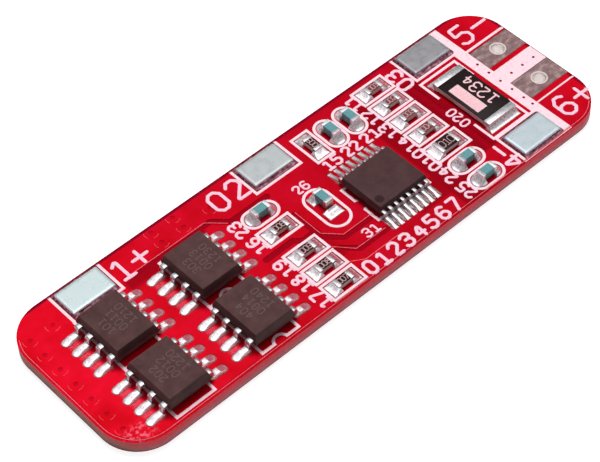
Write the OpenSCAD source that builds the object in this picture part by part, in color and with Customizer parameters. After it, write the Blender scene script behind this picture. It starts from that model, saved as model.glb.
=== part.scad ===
// Protection and balancing board for a three-cell lithium battery pack.
// X runs along the board towards the output pads, Y across it towards the three upper
// cell tabs, and Z up. The origin is at the middle of the underside. Sizes are in mm.

/* [Board] */
// Length of the board
board_l = 50; // [49:0.5:58]
// Width of the board
board_w = 15.7; // [15.5:0.1:18]
// Finished thickness over both solder masks
board_t = 1.2; // [0.8:0.1:1.6]
// Radius of the board's corners
corner_r = 3.5; // [1:0.25:4.5]
// Thickness of the copper foil with the solder mask on it
film_t = 0.065; // [0.05:0.005:0.1]
// Depth of the mask where the copper is etched away below it
etch_t = 0.035; // [0.02:0.005:0.04]
// Gap in the mask round each tinned land
mask_gap = 0.05; // [0.03:0.01:0.08]
// Width of the bare lanes between the copper areas
lane_w = 0.55; // [0.3:0.05:0.7]
// Distance that the copper stays back from the board's edge
edge_lane = 0.3; // [0.2:0.05:0.4]

/* [Layout] */
// From the left-hand end to the first column of transistors
fet_inset = 6.4; // [6.2:0.05:6.5]
// From the upper edge to the three chips above the controller
trio_edge = 2.75; // [2.65:0.05:2.85]
// From the lower edge to the lowest row of chips
row_edge = 1.24; // [1.2:0.01:1.3]
// From the upper edge to the highest row of chips
row_top = 1.66; // [1.6:0.01:1.8]
// From the right-hand end to the cell tabs nearest to it
tab_inset_x = 7.28; // [7.1:0.02:7.3]
// From the right-hand end to the sense resistor
shunt_inset = 7.8; // [7.7:0.02:7.9]

/* [Legend] */
// Thickness of the printed ink
ink_t = 0.02; // [0.01:0.005:0.04]
// Width of a printed line
ink_w = 0.24; // [0.15:0.01:0.3]
// Width of the stripe across the board
stripe_w = 1.05; // [0.6:0.05:1.3]
// Width of the band between the output pads
band_w = 1.85; // [1:0.05:2]

/* [Power transistors] */
// Length of the moulded body, along Y
fet_l = 4.9; // [4.8:0.02:5]
// Width of the moulded body, along X
fet_w = 3.9; // [3.8:0.02:4]
// Height of the moulded body
fet_h = 1.4; // [1.25:0.05:1.5]
// Distance between the toes of opposite leads
fet_span = 6; // [5.8:0.05:6.2]
// Distance between neighbouring leads
fet_pitch = 1.27; // [1.2:0.01:1.3]
// Width of a lead
fet_lead_w = 0.42; // [0.31:0.01:0.51]
// Thickness of a lead
fet_lead_t = 0.2; // [0.17:0.01:0.25]
// Length of a lead's flat foot
fet_foot = 0.5; // [0.4:0.02:0.6]
// Distance between the two columns of transistors
fet_column_pitch = 8.2; // [8:0.05:8.4]

/* [Controller] */
// Length of the moulded body, along X
ctl_l = 5; // [4.9:0.02:5.1]
// Width of the moulded body, along Y
ctl_w = 4.4; // [4.3:0.02:4.5]
// Height of the moulded body
ctl_h = 0.92; // [0.8:0.02:1.05]
// Distance between the toes of opposite leads
ctl_span = 6.4; // [6.2:0.05:6.6]
// Distance between neighbouring leads
ctl_pitch = 0.65; // [0.6:0.01:0.66]
// Number of leads on each side
ctl_leads = 8; // [6:1:8]
// Width of a lead
ctl_lead_w = 0.24; // [0.19:0.01:0.3]
// Thickness of a lead
ctl_lead_t = 0.13; // [0.09:0.01:0.2]
// Length of a lead's flat foot
ctl_foot = 0.5; // [0.45:0.01:0.6]

/* [Leads and solder] */
// Gap between the solder and the underside of a moulded body
standoff = 0.12; // [0.05:0.01:0.2]
// Slant of a lead's leg from the vertical, in degrees
lead_lean = 8; // [0:1:12]
// Thickness of the solder under a foot, chip or tab
solder_t = 0.04; // [0.02:0.01:0.08]
// Length of a lead's land beyond the toe
toe_l = 0.75; // [0.4:0.05:0.85]

/* [Chip parts] */
// Length of a small chip
chip_l = 1.6; // [1.5:0.02:1.7]
// Width of a small chip
chip_w = 0.8; // [0.7:0.02:0.9]
// Height of a small chip resistor
res_h = 0.45; // [0.35:0.01:0.55]
// Height of a small chip capacitor
cap_h = 0.8; // [0.7:0.02:0.9]
// Length of the bias resistor
bias_l = 2; // [1.9:0.02:2.1]
// Width of the bias resistor
bias_w = 1.25; // [1.15:0.02:1.35]
// Length of a chip's metal end
end_l = 0.32; // [0.2:0.02:0.4]
// Thickness of the metal on a chip's end
end_t = 0.03; // [0.02:0.005:0.05]
// Length of a chip's land beyond its end
land_out = 0.62; // [0.4:0.02:0.7]

/* [Sense resistor] */
// Length of the sense resistor, along Y
shunt_l = 6.4; // [6.2:0.05:6.5]
// Width of the sense resistor, along X
shunt_w = 3.1; // [3:0.05:3.3]
// Height of the sense resistor
shunt_h = 0.6; // [0.5:0.02:0.7]
// Length of its metal ends
shunt_end_l = 0.62; // [0.4:0.02:0.8]
// Length of its lands beyond its ends
shunt_land_out = 0.5; // [0.3:0.05:0.6]

/* [Cell tabs] */
// Length of a nickel tab
tab_l = 4.05; // [3.6:0.05:4.15]
// Width of a nickel tab
tab_w = 2.45; // [2:0.05:2.55]
// Thickness of a nickel tab
tab_t = 0.3; // [0.15:0.05:0.5]
// Corner radius of a nickel tab
tab_r = 0.2; // [0.1:0.05:0.5]
// Length of the land under a tab
weld_l = 4.3; // [4.2:0.05:4.4]
// Width of the land under a tab
weld_w = 3; // [2.7:0.05:3.05]
// Distance from a tab's middle to the board's edge
tab_inset = 1.7; // [1.65:0.01:1.8]

/* [Output pads] */
// Length of an output pad
out_l = 4.25; // [3:0.05:4.3]
// Width of an output pad
out_w = 2.28; // [2:0.02:2.5]
// Radius of the plated hole
out_hole_r = 0.55; // [0.4:0.01:0.7]
// Thickness of the plating in the hole
plating_t = 0.05; // [0.03:0.01:0.08]
// Distance between the middles of the output pads
out_pitch = 4.68; // [4.6:0.02:4.8]
// Distance from the output pads to the board's end
out_inset = 0.08; // [0.05:0.01:0.3]

/* [Hidden] */
$fn = 48;
seam = 0.01;                     // overrun of a cut past the face that it opens
left = -board_l / 2;
right = board_l / 2;
lower = -board_w / 2;
upper = board_w / 2;

// Heights
core_top = board_t - film_t;     // top of the glass-epoxy plate
seat_z = board_t + solder_t;     // underside of every soldered part
body_z = seat_z + standoff;      // underside of every moulded body

// Lands
land_in = 0.3;                   // reach of a land under the end of its chip
fet_land_w = fet_lead_w + 0.34;
ctl_land_w = ctl_lead_w + 0.14;
chip_land_w = chip_w + 0.5;
round_land_w = chip_w + 0.6;     // capacitor lands have half-round ends
bias_land_w = bias_w + 0.25;
shunt_land_w = shunt_w + 0.2;

// Metal ends and coats of the chips
shunt_end_t = 0.08;
coat_rise = 0.01;                // a coat stands proud of the ends beside it
coat_gap = 0.02;

// Columns, from the left-hand and from the right-hand end
fet_x = [left + fet_inset, left + fet_inset + fet_column_pitch];
tab_x = right - tab_inset_x;
shunt_x = right - shunt_inset;
out_x = right - out_inset - out_l / 2;
stripe_x = out_x - out_l / 2 - mask_gap - stripe_w / 2;

// The small parts share the field between the transistors and the right-hand tabs
field_x = fet_x[1] + fet_span / 2 + toe_l;
field_l = tab_x - weld_l / 2 - field_x;
function column(share) = field_x + share * field_l;
chip_x = [column(0.146), column(0.84)];
filter_x = column(0.342);
ctl_x = column(0.549);
trio_x = ctl_x - ctl_l / 4;

// The transistors and the first tab share the width with equal gaps
fet_gap = (board_w - tab_inset - tab_w / 2 - 2 * fet_l) / 3;
fet_y = [lower + fet_gap + fet_l / 2, lower + 2 * fet_gap + fet_l * 3 / 2];

// Rows of chips: the right column fills the width with seven rows, and the left column
// has three rows from the same lowest one, room for traces and then two rows
row_y = lower + row_edge;
capsule_step = 0.1;              // rows in capsule outlines are a little wider
bias_step = bias_land_w - round_land_w; // the bias resistor's row is wider again
row_pitch = (board_w - row_edge - row_top - 2 * capsule_step - 3 * bias_step) / 6;
capsule_pitch = row_pitch + capsule_step;
bias_y = row_y + 2 * capsule_pitch + bias_step;
trace_gap = 1;
lane_y = row_y + 3 * row_pitch + trace_gap;

// The controller stands a little below the middle of the room under the three chips
trio_y = upper - trio_edge;
ctl_y = lower + 0.47 * (trio_y - lower);

// The sense resistor stands between two tabs, a little nearer the lower one
shunt_room = board_w - 2 * tab_inset - weld_w - shunt_l - 2 * shunt_land_out;
shunt_y = -0.105 * shunt_room;

// Places across the board, from its middle line
filter_y = 0.3;
filter_shift = [-0.1, -0.4];     // of its lands, which suit longer chips too
filter_room = [2.5, 3.75];       // from the filter capacitor to the lane round it
out_mid = 0.14;
out_r = 0.1;                     // corner radius of the output pads
out_y = [out_mid - out_pitch / 2, out_mid + out_pitch / 2];

// Covered vias, as [x, y]: a row along the left-hand end, and some round the first tab
via_r = 0.2;
via_pitch = 1.8;
via_inset = 1.2;                 // from the left-hand end
via_edge = 0.65;                 // from the upper edge
vias = concat(
    [for (k = [-3 : 3]) [left + via_inset, k * via_pitch]],
    [[left + via_inset + 2.1, 3 * via_pitch]],
    [for (x = [-0.3, 1.9], row = [0, 1]) [fet_x[1] + x, upper - via_edge - row * 1.3]],
    [[fet_x[1] + 4.6, upper - via_edge - 1.3]]
);

// Printed legend
frame_gap = 0.07;                // from a land to the frame round it
bracket_gap = 0.19;              // and to the sides of the sense resistor's brackets
print_edge = 0.08;               // the print stops short of the board's edge
line_gap = [0.58, 0.2];          // from the output pads to the lines below and above them
low_line_w = 0.15;
fet_frame = [fet_w - 0.1, fet_l + 1.2];
ctl_frame = [ctl_w, ctl_l + 0.76];
ctl_frame_low = 0.2;             // its middle lies this far below the controller's
fet_notch_r = 0.75;
ctl_notch_r = 0.72;

// Narrow vias in a cross, covered by the mask but not by the print: up the stripe, where
// the lowest stands apart, and along the band
stitch_r = 0.12;
stitch_pitch = 1.3;
band_low = out_y[0] + out_w / 2 + mask_gap;
stitch = [stripe_x + 0.15, band_low + 0.4 * band_w];
stitches = concat(
    [for (k = [-2 : 2]) stitch + [0, k * stitch_pitch]],
    [stitch - [0, 2.75 * stitch_pitch]],
    [for (k = [1 : 3]) stitch + [k * stitch_pitch, 0]]
);

// Moulded bodies
fet_taper = 0.2;                 // of the sides, from the belt to the top or underside
ctl_taper = 0.1;
mark_t = 0.04;                   // depth of the round mark at pin 1
mark_in = 0.6;                   // from the body's sides to the mark
fet_mark_r = 0.25;
ctl_mark_r = 0.22;

// Solder
toe_climb = 0.7;                 // share of a lead's thickness that solder climbs
chip_climb = 0.55;               // share of a chip's height
chip_run = 0.75;                 // share of a chip's land that its fillet covers
toe_bare = 0.1;                  // rest of a lead's land past its fillet

// Power transistors, as [x, y, turn]
fets = [for (column = [0, 1], row = [1, 0]) [fet_x[column], fet_y[row], column * 180]];

// Cell tabs, as [x, y]
tabs = [
    [fet_x[0] + 0.6, upper - tab_inset],
    [filter_x - 0.8, upper - tab_inset],
    [tab_x, upper - tab_inset],
    [tab_x, lower + tab_inset]
];

// Chip parts, as [x, y, turn, length, width]
function small(x, y, turn = 0) = [x, y, turn, chip_l, chip_w];
resistors = concat(
    [for (k = [4 : -1 : 1]) small(chip_x[1], bias_y + 2 * bias_step + k * row_pitch)],
    [small(trio_x, trio_y, 90)],
    [small(chip_x[0], lane_y)],
    [for (k = [0 : 2]) small(chip_x[0], row_y + k * row_pitch)],
    [[chip_x[1], bias_y, 0, bias_l, bias_w]]
);
capacitors = [
    small(trio_x + 2 * row_pitch, trio_y, 90),
    small(trio_x + row_pitch, trio_y, 90),
    small(chip_x[0], lane_y + capsule_pitch),
    small(chip_x[1], row_y + capsule_pitch),
    small(chip_x[1], row_y),
    small(filter_x, filter_y, 90)
];
shunt = [shunt_x, shunt_y, 90, shunt_l, shunt_w];
filter_lands = [filter_x + filter_shift[0], filter_y + filter_shift[1], 90, chip_l, chip_w];
filter_frame = [filter_lands[0] - 0.07, filter_lands[1] - 0.28, 90];
FILTER = len(capacitors) - 1;    // the filter capacitor comes last

// ------------------------------------------------------------ shapes

// Rectangle with round corners, centred
module rounded_rect(l, w, r) {
    square([l - 2 * r, w], center = true);
    square([l, w - 2 * r], center = true);
    for (x = [-1, 1], y = [-1, 1])
        translate([x * (l / 2 - r), y * (w / 2 - r)]) circle(r);
}

// Bar with half-round ends, centred, lying along X
module capsule(l, w) {
    square([l - w, w], center = true);
    for (x = [-1, 1]) translate([x * (l - w) / 2, 0]) circle(d = w);
}

// Line of one width through a list of points, with round ends and joints
module stroke(points, w) {
    for (i = [0 : len(points) - 2]) {
        run = points[i + 1] - points[i];
        translate(points[i]) rotate(atan2(run[1], run[0]))
            translate([0, -w / 2]) square([norm(run), w]);
    }
    for (p = points) translate(p) circle(d = w);
}

// Flat shape raised from one height to another
module slab(z0, z1) {
    translate([0, 0, z0]) linear_extrude(z1 - z0) children();
}

// Block with all its edges rounded, centred on its underside
module rounded_block(l, w, h, r) {
    translate([0, 0, h / 2]) intersection() {
        linear_extrude(h, center = true) rounded_rect(l, w, r);
        rotate([90, 0, 0]) linear_extrude(w, center = true) rounded_rect(l, h, r);
        rotate([90, 0, 90]) linear_extrude(l, center = true) rounded_rect(w, h, r);
    }
}

// Moves children to a place given as [x, y, turn, ...]
module at(place) {
    translate([place[0], place[1]]) rotate(len(place) > 2 ? place[2] : 0) children();
}

// Children once for each end of a part that lies along X, turned to point outwards
module both_ends() {
    for (side = [0, 180]) rotate(side) children();
}

// Children once for each lead of a row, spaced along Y
module lead_row(count, pitch) {
    for (k = [0 : count - 1]) translate([0, (k - (count - 1) / 2) * pitch]) children();
}

// Children once for each transistor lead and each controller lead, +X along the lead
module each_fet_lead() {
    for (place = fets) at(place) both_ends() lead_row(4, fet_pitch) children();
}

module each_ctl_lead() {
    at([ctl_x, ctl_y, 90]) both_ends() lead_row(ctl_leads, ctl_pitch) children();
}

// ------------------------------------------------------------ outlines of the lands
// Each outline can be grown, which gives the opening in the solder mask.

// Where a land starts, clear of the body above it, and where it ends past the toe
fet_land = [fet_w / 2 + 0.1, fet_span / 2 + toe_l];
ctl_land = [ctl_w / 2 + 0.3, ctl_span / 2 + toe_l - 0.1];

module fet_land_outline(grow = 0) {
    l = fet_land[1] - fet_land[0] + 2 * grow;
    translate([(fet_land[0] + fet_land[1]) / 2, 0]) capsule(l, fet_land_w + 2 * grow);
}

module ctl_land_outline(grow = 0) {
    l = ctl_land[1] - ctl_land[0] + 2 * grow;
    translate([(ctl_land[0] + ctl_land[1]) / 2, 0])
        square([l, ctl_land_w + 2 * grow], center = true);
}

// Land at the +X end of a chip of length l, and out beyond it
module chip_land_outline(l, w, grow = 0, out = land_out) {
    translate([l / 2 - land_in - grow, -w / 2 - grow])
        square([land_in + out + 2 * grow, w + 2 * grow]);
}

module round_land_outline(grow = 0) {
    intersection() {
        chip_land_outline(chip_l, round_land_w, grow);
        capsule(chip_l + 2 * land_out + 2 * grow, round_land_w + 2 * grow);
    }
}

function land_width(chip) = chip[3] == chip_l ? chip_land_w : bias_land_w;

module chip_land_outlines(grow = 0) {
    for (chip = resistors) at(chip) both_ends()
        chip_land_outline(chip[3], land_width(chip), grow);
    for (k = [0 : FILTER - 1]) at(capacitors[k]) both_ends() round_land_outline(grow);
    at(filter_lands) both_ends() chip_land_outline(chip_l, bias_land_w, grow);
    at(shunt) both_ends() chip_land_outline(shunt_l, shunt_land_w, grow, shunt_land_out);
}

module weld_outline(grow = 0) {
    rounded_rect(weld_l + 2 * grow, weld_w + 2 * grow, tab_r + grow);
}

module output_outline(grow = 0) {
    rounded_rect(out_l + 2 * grow, out_w + 2 * grow, out_r + grow);
}

module output_outlines(grow = 0) {
    for (y = out_y) at([out_x, y]) output_outline(grow);
}

module upper_lands(grow = 0) {
    each_fet_lead() fet_land_outline(grow);
    each_ctl_lead() ctl_land_outline(grow);
    chip_land_outlines(grow);
    for (place = tabs) at(place) weld_outline(grow);
    output_outlines(grow);
}

// ------------------------------------------------------------ board

// Glass-epoxy plate that everything else is bonded to
module substrate() {
    color("rosybrown") difference() {
        slab(film_t, core_top) board_outline();
        for (y = out_y) translate([out_x, y, 0])
            cylinder(r = out_hole_r + plating_t, h = board_t);
    }
}

// Lane at height y from x0 to x1, which jogs down by step at 45 degrees on the way
module jog_lane(x0, jog_x, x1, y, step) {
    stroke([[x0, y], [jog_x, y], [jog_x + step, y - step], [x1, y - step]], lane_w);
}

// Lanes where the copper is etched away between its areas
module etched_lanes() {
    // below the tabs, and on past the left column of chips
    jog_lane((fet_x[0] + fet_x[1]) / 2, field_x, chip_x[0] + chip_l,
        upper - weld_w, 2 * lane_w);
    // between the two groups of that column, and from its lower group to the controller
    jog_lane(field_x + lane_w, chip_x[0], chip_x[0] + chip_l,
        lane_y - (row_pitch + trace_gap) / 2, lane_w);
    jog_lane(chip_x[0] + chip_l, chip_x[0] + chip_l + lane_w, ctl_x - ctl_frame[1] / 2,
        row_y + row_pitch + lane_w, 2 * lane_w);
    // round the filter capacitor
    lane_x = filter_x - filter_room[0];
    low_y = filter_y - filter_room[1];
    stroke([[lane_x, filter_y + lane_w], [lane_x, low_y + filter_room[0] / 2],
            [lane_x + filter_room[0] / 2, low_y], [ctl_x - ctl_frame[1] / 2, low_y]], lane_w);
    // beside the sense resistor
    bar_x = shunt_x - shunt_land_w / 2 - 2 * lane_w;
    stroke([[bar_x, shunt_y - shunt_l * 2 / 3], [bar_x, shunt_y + shunt_l * 2 / 3]], lane_w);
}

// Board outline, set back from the edge
module board_outline(back = 0) {
    rounded_rect(board_l - 2 * back, board_w - 2 * back, corner_r - back);
}

module stitch_holes() {
    for (place = stitches) translate(place) circle(stitch_r);
}

// Where the mask lies lower: along the board's edge, in the lanes and over the vias
module low_mask() {
    difference() {
        board_outline();
        board_outline(edge_lane);
    }
    etched_lanes();
    for (via = vias) translate(via) circle(via_r);
    stitch_holes();
}

module mask_top() {
    color("crimson") difference() {
        slab(core_top, board_t) board_outline();
        slab(core_top - seam, board_t + seam) upper_lands(mask_gap);
        slab(board_t - etch_t, board_t + seam) low_mask();
    }
}

module mask_bottom() {
    color("crimson") slab(0, film_t) difference() {
        board_outline();
        output_outlines(mask_gap);
    }
}

// ------------------------------------------------------------ printed legend

// Frame round a rectangle of l by w
module frame_line(l, w) {
    difference() {
        square([l + 2 * ink_w, w + 2 * ink_w], center = true);
        square([l, w], center = true);
    }
}

// Frame round a bar with half-round ends
module capsule_line(l, w) {
    difference() {
        capsule(l + 2 * ink_w, w + 2 * ink_w);
        capsule(l, w);
    }
}

// Outline of a moulded package, l along Y, with a half-round notch at its +Y end
module notched_frame(w, l, notch_r) {
    difference() {
        frame_line(w - 2 * ink_w, l - 2 * ink_w);
        translate([0, l / 2]) circle(notch_r);
    }
    intersection() {
        square([w, l], center = true);
        translate([0, l / 2]) difference() {
            circle(notch_r);
            circle(notch_r - ink_w);
        }
    }
}

module package_frames() {
    for (place = fets) at(place) notched_frame(fet_frame[0], fet_frame[1], fet_notch_r);
    at([ctl_x, ctl_y - ctl_frame_low, 90])
        notched_frame(ctl_frame[0], ctl_frame[1], ctl_notch_r);
}

module chip_frames() {
    for (chip = resistors) at(chip)
        frame_line(chip[3] + 2 * (land_out + frame_gap), land_width(chip) + 2 * frame_gap);
    for (k = [0 : FILTER - 1]) at(capacitors[k])
        capsule_line(chip_l + 2 * (land_out + frame_gap), round_land_w + 2 * frame_gap);
    // drawn for a longer and wider part than the one that stands there
    at(filter_frame) capsule_line(chip_l + 4 * land_out + frame_gap, 1.3 * bias_land_w);
}

// Two brackets, one at each end of the sense resistor
module shunt_brackets() {
    at(shunt) difference() {
        frame_line(shunt_l + 2 * (land_out + bracket_gap), shunt_land_w + 2 * bracket_gap);
        square([shunt_l - 4 * shunt_end_l, 2 * shunt_w], center = true);
    }
}

// Stripe across the board, and lines from it to the end of the board, each as [low y, width]
module stripes() {
    translate([stripe_x, 0]) square([stripe_w, board_w], center = true);
    for (line = [
        [band_low, band_w],
        [out_y[1] + out_w / 2 + line_gap[1], ink_w],
        [out_y[0] - out_w / 2 - line_gap[0] - low_line_w, low_line_w]
    ]) translate([stripe_x, line[0]]) square([right - stripe_x, line[1]]);
}

module print_outline() {
    difference() {
        intersection() {
            board_outline(print_edge);
            union() {
                package_frames();
                chip_frames();
                shunt_brackets();
                stripes();
                for (place = tabs) at(place)
                    frame_line(weld_l + 2 * frame_gap, weld_w + 2 * frame_gap);
            }
        }
        upper_lands(mask_gap);
        stitch_holes();
    }
}

// The ink follows the mask down into its low parts
module legend() {
    color("mistyrose") {
        slab(board_t, board_t + ink_t) difference() {
            print_outline();
            low_mask();
        }
        slab(board_t - etch_t, board_t - etch_t + ink_t) intersection() {
            print_outline();
            low_mask();
        }
    }
}

// ------------------------------------------------------------ lands and solder

// Meniscus of solder against a wall, from its foot at [run, 0] up to [0, rise]
function meniscus(run, rise) =
    [for (a = [0 : 15 : 90]) [run * (1 - sin(a)), rise * (1 - cos(a))]];

// Solder that climbs a wall facing +X at x, of width w
module solder_fillet(x, run, rise, w) {
    translate([x, 0, seat_z]) rotate([90, 0, 0])
        linear_extrude(w, center = true) polygon(concat([[0, 0]], meniscus(run, rise)));
}

// Tinned land with its solder, and the fillet in front of the lead's toe
module lead_land(span, lead_w, lead_t, land) {
    slab(core_top, seat_z) children();
    solder_fillet(span / 2, land[1] - span / 2 - toe_bare, toe_climb * lead_t, lead_w);
}

module lead_lands() {
    color("silver") {
        each_fet_lead() lead_land(fet_span, fet_lead_w, fet_lead_t, fet_land)
            fet_land_outline();
        each_ctl_lead() lead_land(ctl_span, ctl_lead_w, ctl_lead_t, ctl_land)
            ctl_land_outline();
    }
}

// Fillets at both ends of a chip of height h
module chip_fillets(chip, h, out = land_out) {
    at(chip) both_ends() solder_fillet(chip[3] / 2, chip_run * out, chip_climb * h, chip[4]);
}

module chip_lands() {
    color("silver") {
        slab(core_top, seat_z) chip_land_outlines();
        for (chip = resistors) chip_fillets(chip, res_h);
        for (k = [0 : FILTER - 1]) chip_fillets(capacitors[k], cap_h);
        chip_fillets(shunt, shunt_h, shunt_land_out);
    }
}

module weld_lands() {
    color("silver") slab(core_top, seat_z) for (place = tabs) at(place) weld_outline();
}

// Output pad: lands on both sides of the board, joined by the plated hole
module output_pad(side) {
    color("darkgray") at([out_x, out_y[side]]) difference() {
        union() {
            slab(core_top, board_t) output_outline();
            slab(0, film_t) output_outline();
            cylinder(r = out_hole_r + plating_t, h = board_t);
        }
        translate([0, 0, -seam]) cylinder(r = out_hole_r, h = board_t + 2 * seam);
    }
}

module cell_tab(k) {
    color("gainsboro") at(tabs[k - 1]) slab(seat_z, seat_z + tab_t)
        rounded_rect(tab_l, tab_w, tab_r);
}

// ------------------------------------------------------------ moulded packages

// Outline of a moulded body seen from one side: the halves taper away from a straight
// belt at mid height, where the leads come out
function mould_outline(half, h, belt, taper) = let (
    right_side = [[half - taper, 0], [half, (h - belt) / 2],
                  [half, (h + belt) / 2], [half - taper, h]]
) concat(right_side, [for (k = [3 : -1 : 0]) [-right_side[k][0], right_side[k][1]]]);

module moulded_body(l, w, h, belt, taper) {
    intersection() {
        rotate([90, 0, 0]) linear_extrude(w, center = true)
            polygon(mould_outline(l / 2, h, belt, taper));
        rotate([90, 0, 90]) linear_extrude(l, center = true)
            polygon(mould_outline(w / 2, h, belt, taper));
    }
}

// Side view of a gull-wing lead, from the body's side at x0 to the toe at x1. The
// shoulder's middle is at height top and the foot stands on height 0.
module gull_wing(x0, x1, top, t, foot, lean) {
    r = 0.9 * t;            // bend radius at the middle of the strip
    steps = 4;
    foot_mid = t / 2;
    heel = x1 - foot;       // middle of the lower bend
    drop = top - foot_mid;
    shoulder = heel - 2 * r * cos(lean) - tan(lean) * (drop - 2 * r + 2 * r * sin(lean));
    turn = 90 - lean;
    // One side of the strip, s off its middle line
    function side(s) = concat(
        [[x0, top + s]],
        [for (k = [0 : steps]) let (a = 90 - turn * k / steps)
            [shoulder + (r + s) * cos(a), top - r + (r + s) * sin(a)]],
        [for (k = [0 : steps]) let (a = 180 + lean + turn * k / steps)
            [heel + (r - s) * cos(a), foot_mid + r + (r - s) * sin(a)]],
        [[x1, foot_mid + s]]
    );
    below = side(-t / 2);
    polygon(concat(side(t / 2), [for (k = [len(below) - 1 : -1 : 0]) below[k]]));
}

// One formed lead standing on its land, along +X
module lead(x0, x1, body_h, w, t, foot) {
    translate([0, 0, seat_z]) rotate([90, 0, 0]) linear_extrude(w, center = true)
        gull_wing(x0, x1, standoff + body_h / 2, t, foot, lead_lean);
}

// Shallow round mark in the top of a body of height h
module pin_mark(x, y, h, r) {
    translate([x, y, h - mark_t]) cylinder(r = r, h = 2 * mark_t);
}

module transistor_body(k) {
    color("dimgray") at(fets[k - 1]) translate([0, 0, body_z]) difference() {
        moulded_body(fet_w, fet_l, fet_h, fet_lead_t, fet_taper);
        pin_mark(mark_in - fet_w / 2, fet_l / 2 - mark_in, fet_h, fet_mark_r);
    }
}

module transistor_leads(k) {
    color("silver") at(fets[k - 1]) both_ends() lead_row(4, fet_pitch)
        lead(fet_w / 2, fet_span / 2, fet_h, fet_lead_w, fet_lead_t, fet_foot);
}

module controller_body() {
    color("dimgray") translate([ctl_x, ctl_y, body_z]) difference() {
        moulded_body(ctl_l, ctl_w, ctl_h, ctl_lead_t, ctl_taper);
        pin_mark(mark_in - ctl_l / 2, mark_in - ctl_w / 2, ctl_h, ctl_mark_r);
    }
}

module controller_leads() {
    color("silver") each_ctl_lead()
        lead(ctl_w / 2, ctl_span / 2, ctl_h, ctl_lead_w, ctl_lead_t, ctl_foot);
}

// ------------------------------------------------------------ chip parts

// Ceramic block of a chip resistor, inside the metal of its ends
module ceramic(chip, h, metal) {
    at(chip) translate([-chip[3] / 2 + metal, -chip[4] / 2, seat_z + metal])
        cube([chip[3] - 2 * metal, chip[4], h - 2 * metal]);
}

// Metal folded round the end of a chip resistor: over, down and under
module folded_ends(chip, h, reach, metal) {
    at(chip) both_ends() translate([chip[3] / 2 - reach, -chip[4] / 2, seat_z])
        difference() {
            cube([reach, chip[4], h]);
            translate([-seam, -seam, metal])
                cube([reach - metal + seam, chip[4] + 2 * seam, h - 2 * metal]);
        }
}

// Coat between the ends, on top of the ceramic
module coat(chip, h, reach, metal) {
    l = chip[3] - 2 * reach - 2 * coat_gap;
    at(chip) translate([-l / 2, -chip[4] / 2, seat_z + h - metal])
        cube([l, chip[4], metal + coat_rise]);
}

module resistor_body(k) {
    color("white") ceramic(resistors[k - 1], res_h, end_t);
}

module resistor_ends(k) {
    color("silver") folded_ends(resistors[k - 1], res_h, end_l, end_t);
}

module resistor_coats() {
    color("black") for (chip = resistors) coat(chip, res_h, end_l, end_t);
}

module shunt_body() {
    color("white") ceramic(shunt, shunt_h, shunt_end_t);
}

module shunt_ends() {
    color("silver") folded_ends(shunt, shunt_h, shunt_end_l, shunt_end_t);
}

module shunt_coat() {
    color("black") coat(shunt, shunt_h, shunt_end_l, shunt_end_t);
}

// Ceramic block of a chip capacitor, covered on all sides at its ends
module capacitor_block(chip) {
    translate([0, 0, seat_z + cap_h / 2])
        cube([chip[3] - 2 * end_t, chip[4] - 2 * end_t, cap_h - 2 * end_t], center = true);
}

module capacitor_body(k) {
    color("cadetblue") at(capacitors[k - 1]) capacitor_block(capacitors[k - 1]);
}

module capacitor_ends(k) {
    chip = capacitors[k - 1];
    color("silver") at(chip) difference() {
        translate([0, 0, seat_z]) rounded_block(chip[3], chip[4], cap_h, 2 * end_t);
        capacitor_block(chip);
        translate([-chip[3] / 2 + end_l, -chip[4], seat_z - seam])
            cube([chip[3] - 2 * end_l, 2 * chip[4], cap_h + 2 * seam]);
    }
}

// ------------------------------------------------------------ nodes

substrate();
mask_top();
mask_bottom();
legend();
weld_lands();
output_pad(0);  // output_pad_plus
output_pad(1);  // output_pad_minus
for (k = [1 : len(tabs)])
    cell_tab(k);
for (k = [1 : len(fets)]) {
    transistor_body(k);
    transistor_leads(k);
}
controller_body();
controller_leads();
lead_lands();
chip_lands();
shunt_body();
shunt_coat();
shunt_ends();
for (k = [1 : len(resistors)]) {
    resistor_body(k);
    resistor_ends(k);
}
resistor_coats();
for (k = [1 : len(capacitors)]) {
    capacitor_body(k);
    capacitor_ends(k);
}
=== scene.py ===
"""Looks of a protection and balancing board for a three-cell lithium pack.

The sections follow the board as it is made: plate, mask, print, pads, solder, leads, bodies,
chips and tabs.
"""
import math
from collections import namedtuple
from functools import partial

import bmesh
import bpy
from mathutils import Matrix, Vector


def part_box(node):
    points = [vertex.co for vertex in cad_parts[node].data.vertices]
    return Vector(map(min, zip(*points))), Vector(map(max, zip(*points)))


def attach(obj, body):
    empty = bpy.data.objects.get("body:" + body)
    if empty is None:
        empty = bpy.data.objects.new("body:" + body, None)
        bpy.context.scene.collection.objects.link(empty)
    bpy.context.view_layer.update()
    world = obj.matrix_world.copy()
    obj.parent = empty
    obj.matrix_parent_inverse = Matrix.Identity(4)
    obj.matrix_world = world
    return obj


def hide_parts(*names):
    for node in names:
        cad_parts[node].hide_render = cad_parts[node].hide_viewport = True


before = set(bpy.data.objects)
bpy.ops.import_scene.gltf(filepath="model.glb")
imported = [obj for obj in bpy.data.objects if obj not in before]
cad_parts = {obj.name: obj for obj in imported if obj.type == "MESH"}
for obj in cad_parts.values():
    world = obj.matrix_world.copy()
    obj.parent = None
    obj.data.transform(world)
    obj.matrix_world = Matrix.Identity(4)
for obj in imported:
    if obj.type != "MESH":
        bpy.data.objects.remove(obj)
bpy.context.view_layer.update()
MM = 0.001

# ---------------------------------------------------------------- glass-epoxy plate
# Woven glass in epoxy resin, cut from a panel with a router, so its edge is brown, dull
# and streaked along the layers of cloth. The whole board is bonded to it.

plate_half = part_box("substrate")[1]
corner_radius = 3.5 * MM


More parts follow.
